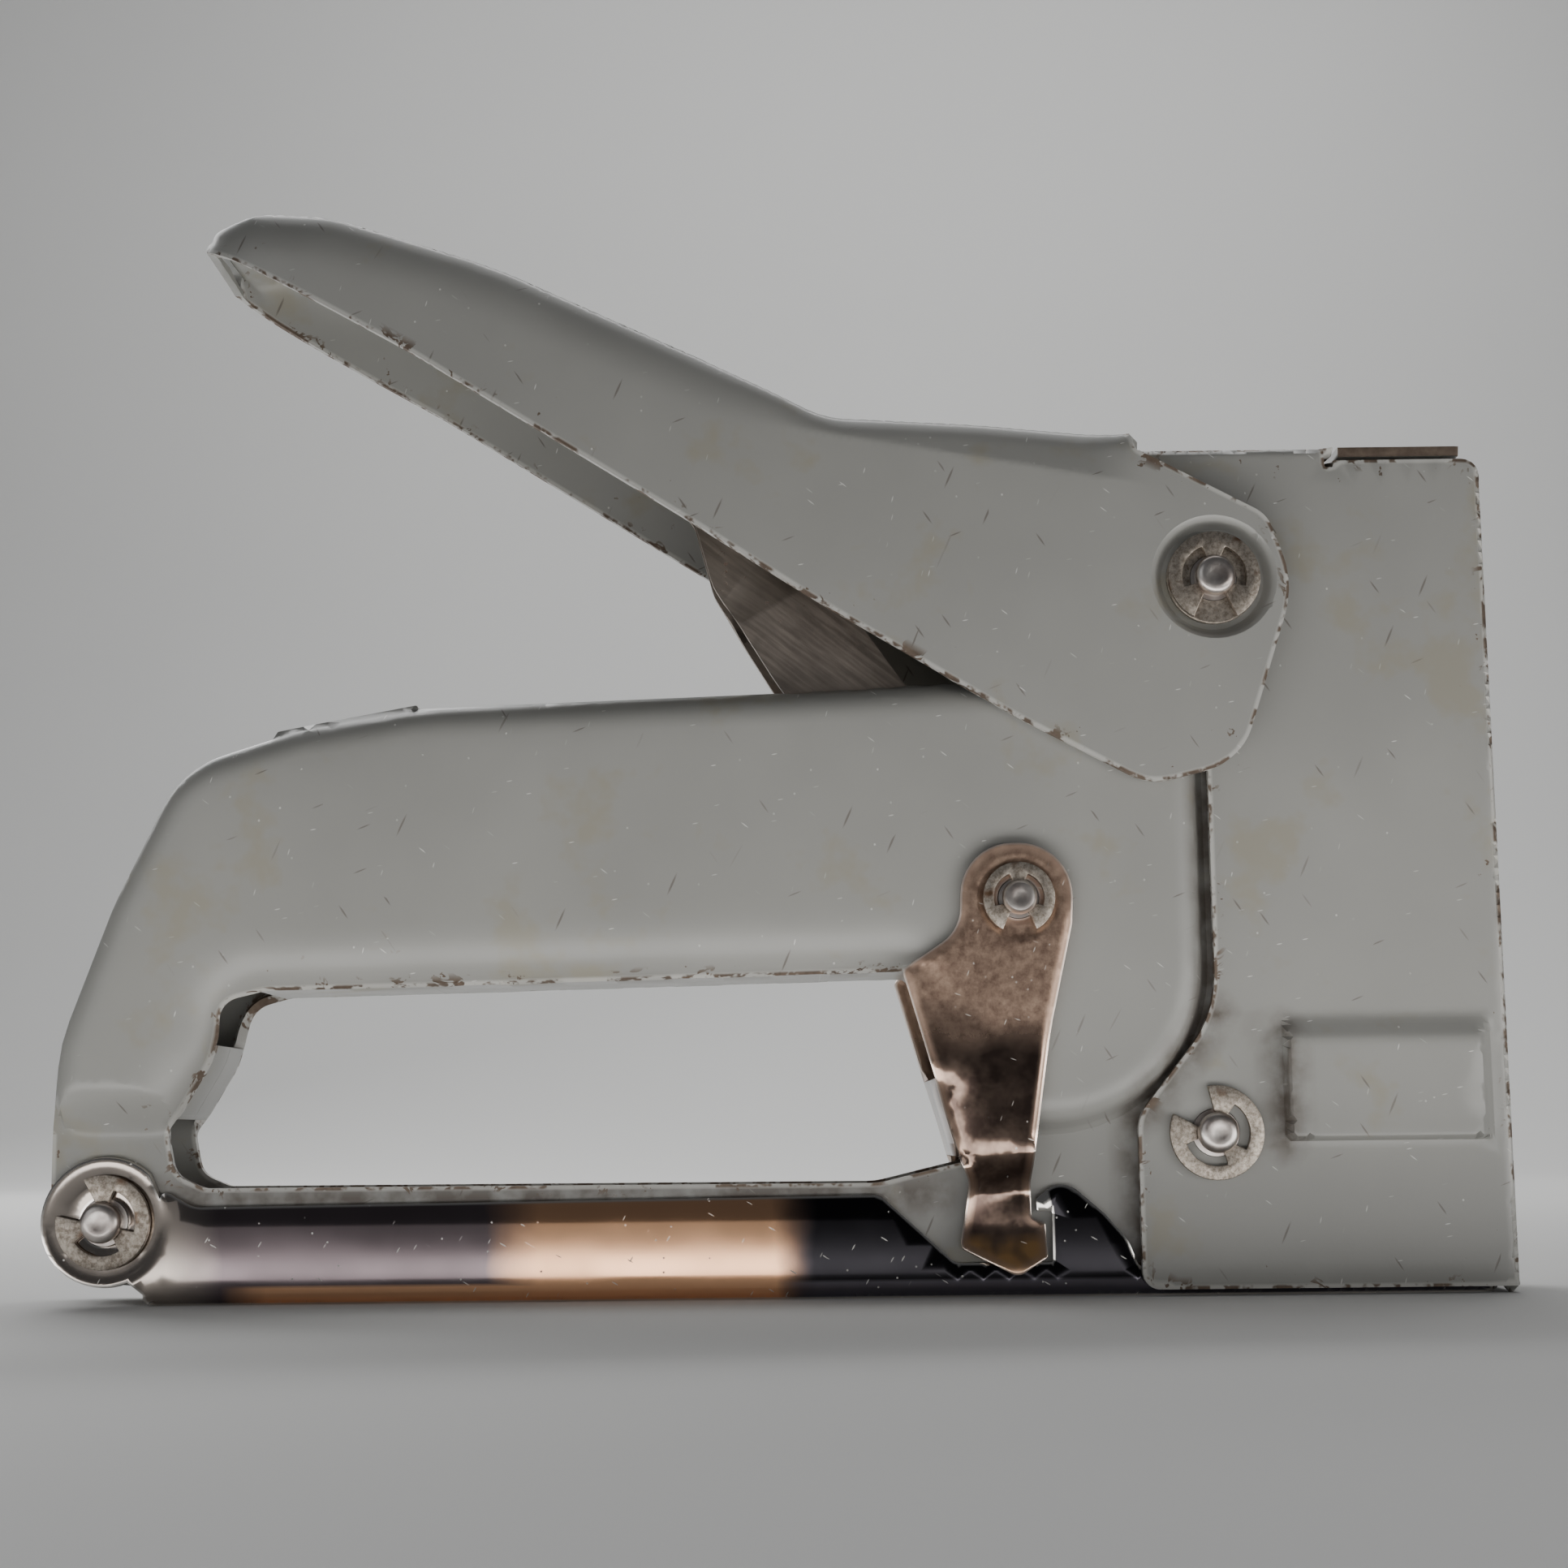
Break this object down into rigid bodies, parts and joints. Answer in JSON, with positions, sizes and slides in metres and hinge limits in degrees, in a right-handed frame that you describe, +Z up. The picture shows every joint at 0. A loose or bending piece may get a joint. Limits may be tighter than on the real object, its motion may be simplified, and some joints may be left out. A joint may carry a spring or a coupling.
{
  "type": "staple gun",
  "caption": "All-metal hand staple gun: squeeze lever over a closed grip with a finger opening, upright head, swing-down magazine and side latch.",
  "frame": {"origin": "on the base plane, under the middle of the tool's box", "axes": "+X to the front (nose) where the staple leaves, +Z up from the base, +Y across the width; the picture's near side is -Y"},
  "size_m": [0.174, 0.0303, 0.1335],
  "materials": {
    "grey_paint": "light grey baked enamel, chipped along the edges",
    "chrome_plate": "polished chrome plate",
    "latch_steel": "satin nickel plate with a warm tarnish",
    "dull_steel": "bare pressed steel, dull, with rust specks",
    "zinc_steel": "zinc-plated steel, satin",
    "ring_steel": "phosphated spring steel, worn bright on its faces",
    "spring_steel": "oiled spring wire",
    "bumper_rubber": "black moulded rubber"
  },
  "bodies": {
    "frame": {"body_shell_left": "grey_paint", "body_shell_right": "grey_paint", "head_housing": "grey_paint", "front_guide": "dull_steel", "lever_pivot_pin": "zinc_steel", "latch_pin": "zinc_steel", "front_pin": "zinc_steel", "rear_hinge_pin": "zinc_steel", "e_rings_large": "ring_steel", "e_ring_small": "ring_steel", "pivot_washers": "zinc_steel", "power_spring": "spring_steel", "spring_seat": "dull_steel", "bumper_block": "bumper_rubber", "latch_spring": "spring_steel", "lever_pin_spacer": "dull_steel", "latch_pin_spacers": "dull_steel", "front_pin_spacers": "dull_steel", "rear_pin_spacer": "dull_steel"},
    "lever": {"lever": "grey_paint"},
    "rocker": {"rocker": "dull_steel"},
    "plunger": {"plunger_block": "dull_steel", "striker_blade": "dull_steel"},
    "magazine": {"magazine_channel": "chrome_plate", "staple_rail": "zinc_steel", "pusher_guide_rod": "zinc_steel", "pusher_spring": "spring_steel"},
    "pusher": {"pusher": "zinc_steel"},
    "latch": {"latch_lever": "latch_steel"}
  },
  "joints": [
    {"name": "lever_swing", "type": "hinge", "parent": "frame", "child": "lever", "pos_m": [0.05335, 0, 0.0852], "axis": [0, -1, 0], "range_deg": [0, 22], "stiffness_Nm_per_rad": 2, "springref_deg": -20.05},
    {"name": "rocker_swing", "type": "hinge", "parent": "frame", "child": "rocker", "pos_m": [0.02885, 0, 0.0466], "axis": [0, -1, 0], "range_deg": [0, 27.1]},
    {"name": "plunger_lift", "type": "slide", "parent": "frame", "child": "plunger", "axis": [0, 0, 1], "range_m": [0, 0.0188], "deforming": ["power_spring"]},
    {"name": "magazine_swing", "type": "hinge", "parent": "frame", "child": "magazine", "pos_m": [-0.07945, 0, 0.0098], "axis": [0, 1, 0], "range_deg": [0, 16]},
    {"name": "latch_swing", "type": "hinge", "parent": "frame", "child": "latch", "pos_m": [0.02885, 0, 0.0466], "axis": [0, 1, 0], "range_deg": [0, 40]},
    {"name": "pusher_slide", "type": "slide", "parent": "magazine", "child": "pusher", "axis": [-1, 0, 0], "range_m": [0, 0.12], "stiffness_N_per_m": 30, "springref_m": -0.05, "deforming": ["pusher_spring"]}
  ],
  "couplings": [
    {"joint": "rocker_swing", "follows": "lever_swing", "ratio": 1.23},
    {"joint": "plunger_lift", "follows": "lever_swing", "m_per_rad": 0.04875},
    {"joint": "latch_swing", "follows": "magazine_swing", "ratio": 2.5}
  ]
}
